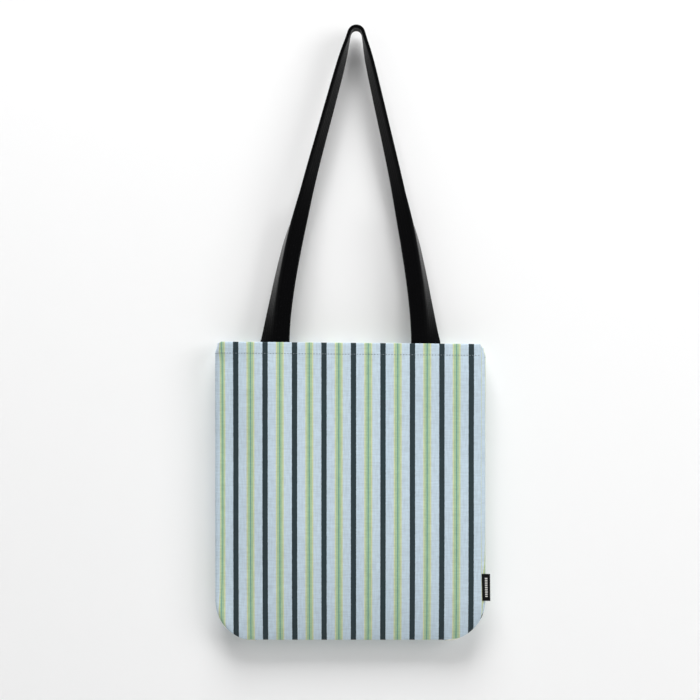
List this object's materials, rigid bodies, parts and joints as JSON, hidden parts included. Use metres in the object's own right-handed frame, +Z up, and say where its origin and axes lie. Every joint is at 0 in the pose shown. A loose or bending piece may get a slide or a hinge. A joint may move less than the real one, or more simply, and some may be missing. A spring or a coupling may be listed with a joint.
{
  "type": "tote bag",
  "caption": "Square striped canvas tote bag with an open mouth, two long black webbing handles folded over a peg and a small woven side label.",
  "frame": {"origin": "on top of the peg that the bag hangs from, where the undersides of both handles rest, midway between the handles", "axes": "+Z up, +X to the right seen from the front, +Y back towards the wall along the peg; the front panel faces -Y"},
  "size_m": [0.3048, 0.0442, 0.6828],
  "materials": {
    "printed_canvas": "plain woven polyester canvas, printed with stripes on the outside",
    "black_webbing": "black woven webbing, matt with a soft sheen",
    "grey_thread": "spun polyester sewing thread",
    "white_overlock": "spun polyester overlock thread",
    "black_thread": "spun polyester sewing thread",
    "black_woven_label": "fine woven polyester tape"
  },
  "bodies": {
    "bag": {"front_panel": "printed_canvas", "back_panel": "printed_canvas", "front_handle_left_end": "black_webbing", "front_handle_right_end": "black_webbing", "front_handle_end_stitching": "black_thread", "front_hem_stitching": "grey_thread", "back_handle_left_end": "black_webbing", "back_handle_right_end": "black_webbing", "back_handle_end_stitching": "black_thread", "back_hem_stitching": "grey_thread", "left_seam_stitching": "grey_thread", "left_seam_overlock": "white_overlock", "bottom_seam_stitching": "grey_thread", "bottom_seam_overlock": "white_overlock", "right_seam_stitching": "grey_thread", "right_seam_overlock": "white_overlock"},
    "front_handle": {"front_handle": "black_webbing"},
    "back_handle": {"back_handle": "black_webbing"},
    "side_label": {"side_label": "black_woven_label"}
  },
  "joints": [
    {"name": "front_handle_swing", "type": "hinge", "parent": "bag", "child": "front_handle", "pos_m": [-0.0066, -0.0182, -0.3475], "axis": [1, 0, 0], "range_deg": [0, 172]},
    {"name": "back_handle_swing", "type": "hinge", "parent": "bag", "child": "back_handle", "pos_m": [-0.0066, 0.0182, -0.3475], "axis": [-1, 0, 0], "range_deg": [0, 172]},
    {"name": "side_label_flip", "type": "hinge", "parent": "bag", "child": "side_label", "pos_m": [0.14038, -0.015, -0.6195], "axis": [0, 0, 1], "range_deg": [-85, 50]}
  ]
}
